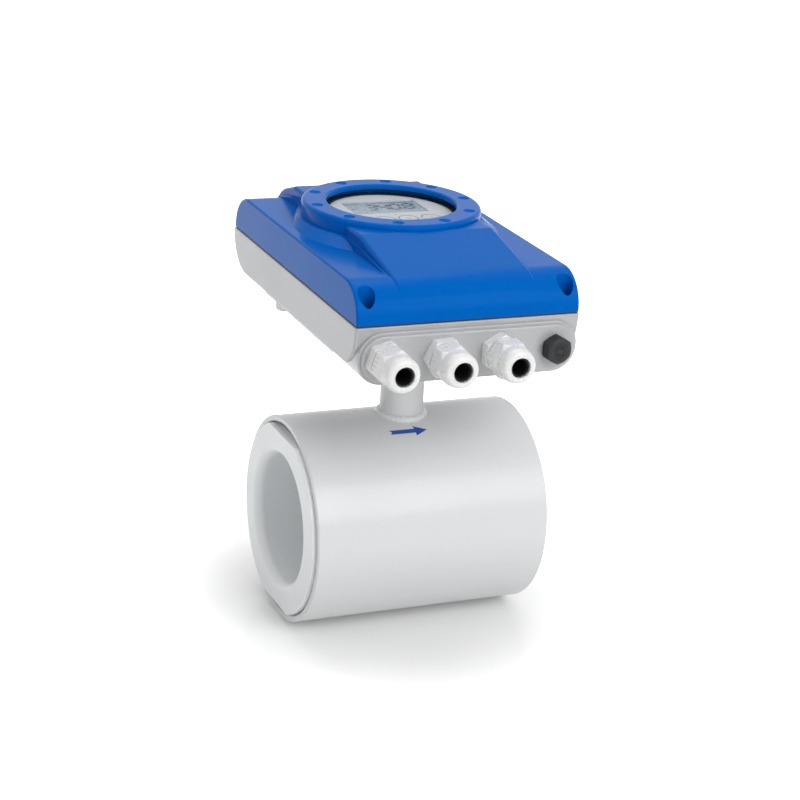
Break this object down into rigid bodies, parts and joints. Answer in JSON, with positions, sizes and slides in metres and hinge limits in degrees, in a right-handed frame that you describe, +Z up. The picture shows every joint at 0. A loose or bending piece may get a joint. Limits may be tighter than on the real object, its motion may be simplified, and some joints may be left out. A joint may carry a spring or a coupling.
{
  "type": "electromagnetic flow meter",
  "caption": "Wafer electromagnetic flow meter: a lined measuring tube clamped between pipe flanges, with a neck and a flat converter housing with display window and cable glands.",
  "frame": {"origin": "centre of the measuring bore, halfway between the two sealing faces", "axes": "+X along the pipe in the direction of flow, -Y towards the cable entries, +Z up towards the converter"},
  "size_m": [0.19, 0.2977, 0.308],
  "materials": {
    "grey_paint": "fine-grained silver-grey powder coat",
    "blue_paint": "smooth mid-blue semi-gloss coat",
    "liner_white": "smooth white fluoropolymer",
    "steel": "bare stainless steel",
    "magnet_iron": "soft magnetic steel",
    "copper": "enamelled copper winding",
    "lead_red": "red insulated lead",
    "lead_grey": "grey insulated lead",
    "black_rubber": "black elastomer",
    "window_glass": "clear glass",
    "dark_metal": "black lacquer",
    "bright_metal": "tinned sheet",
    "gland_white": "white polyamide",
    "black_plastic": "black moulded plastic",
    "grey_plastic": "grey moulded plastic",
    "board_green": "green solder mask",
    "terminal_green": "green moulded plastic",
    "face_grey": "light grey printed foil",
    "screen": "grey-green liquid crystal panel"
  },
  "bodies": {
    "meter": {"sensor_housing": "grey_paint", "converter_base": "grey_paint", "neck_tube": "grey_paint", "neck_flange": "grey_paint", "liner": "liner_white", "measuring_tube": "steel", "end_ring_inlet": "steel", "end_ring_outlet": "steel", "electrode_front": "steel", "electrode_back": "steel", "electrode_washers": "steel", "electrode_nuts": "steel", "neck_screws": "steel", "board_screws": "steel", "terminal_screws": "steel", "pole_core_upper": "magnet_iron", "pole_core_lower": "magnet_iron", "yoke_band": "magnet_iron", "coil_upper": "copper", "coil_lower": "copper", "coil_leads": "lead_red", "electrode_leads": "lead_grey", "display_ribbon": "lead_grey", "electrode_bush_front": "liner_white", "electrode_bush_back": "liner_white", "neck_seal": "black_rubber", "seam_seal": "black_rubber", "gland_seals": "black_rubber", "gland_body_1": "gland_white", "gland_body_2": "gland_white", "gland_body_3": "gland_white", "vent_plug": "gland_white", "main_board": "board_green", "sensor_connector": "black_plastic", "ribbon_header": "black_plastic", "terminal_block_power": "terminal_green", "terminal_block_signal": "terminal_green", "terminal_partition": "grey_plastic", "transformer": "dark_metal", "capacitors": "dark_metal", "processor_shield": "bright_metal", "display_bracket": "grey_plastic"},
    "cover_unit": {"cover": "blue_paint", "window_glass": "window_glass", "window_seal": "black_rubber", "window_clamp_ring": "dark_metal", "window_clamp_screws": "steel", "cover_screws": "steel"},
    "display_unit": {"display_cup": "grey_plastic", "display_face": "face_grey", "screen_panel": "screen", "display_board": "board_green"},
    "plug_seal": {"plug_seal": "black_rubber"},
    "blind_plug": {"blind_plug": "black_plastic"},
    "gland_insert_1": {"gland_insert_1": "black_rubber"},
    "gland_nut_1": {"gland_nut_1": "gland_white"},
    "gland_insert_2": {"gland_insert_2": "black_rubber"},
    "gland_nut_2": {"gland_nut_2": "gland_white"},
    "gland_insert_3": {"gland_insert_3": "black_rubber"},
    "gland_nut_3": {"gland_nut_3": "gland_white"}
  },
  "joints": [
    {"name": "cover_lift", "type": "slide", "parent": "meter", "child": "cover_unit", "axis": [0, 0, 1], "range_m": [0, 0.06]},
    {"name": "display_turn", "type": "hinge", "parent": "meter", "child": "display_unit", "pos_m": [0, 0.043, 0.21], "axis": [0, 0, 1], "range_deg": [-90, 180]},
    {"name": "gland_1_advance", "type": "slide", "parent": "meter", "child": "gland_insert_1", "axis": [0, -1, 0], "range_m": [0, 0.006]},
    {"name": "gland_1_turn", "type": "hinge", "parent": "gland_insert_1", "child": "gland_nut_1", "pos_m": [-0.06495, -0.1112, 0.162], "axis": [0, -1, 0], "range_deg": [0, 1440]},
    {"name": "gland_2_advance", "type": "slide", "parent": "meter", "child": "gland_insert_2", "axis": [0, -1, 0], "range_m": [0, 0.006]},
    {"name": "gland_2_turn", "type": "hinge", "parent": "gland_insert_2", "child": "gland_nut_2", "pos_m": [-0.02165, -0.1112, 0.162], "axis": [0, -1, 0], "range_deg": [0, 1440]},
    {"name": "gland_3_advance", "type": "slide", "parent": "meter", "child": "gland_insert_3", "axis": [0, -1, 0], "range_m": [0, 0.006]},
    {"name": "gland_3_turn", "type": "hinge", "parent": "gland_insert_3", "child": "gland_nut_3", "pos_m": [0.02165, -0.1112, 0.162], "axis": [0, -1, 0], "range_deg": [0, 1440]},
    {"name": "plug_advance", "type": "slide", "parent": "meter", "child": "plug_seal", "axis": [0, -1, 0], "range_m": [0, 0.009]},
    {"name": "plug_turn", "type": "hinge", "parent": "plug_seal", "child": "blind_plug", "pos_m": [0.06495, -0.1112, 0.162], "axis": [0, -1, 0], "range_deg": [0, 2160]}
  ],
  "couplings": [
    {"joint": "gland_1_turn", "follows": "gland_1_advance", "rad_per_m": 4188.8},
    {"joint": "gland_2_turn", "follows": "gland_2_advance", "rad_per_m": 4188.8},
    {"joint": "gland_3_turn", "follows": "gland_3_advance", "rad_per_m": 4188.8},
    {"joint": "plug_turn", "follows": "plug_advance", "rad_per_m": 4188.8}
  ]
}
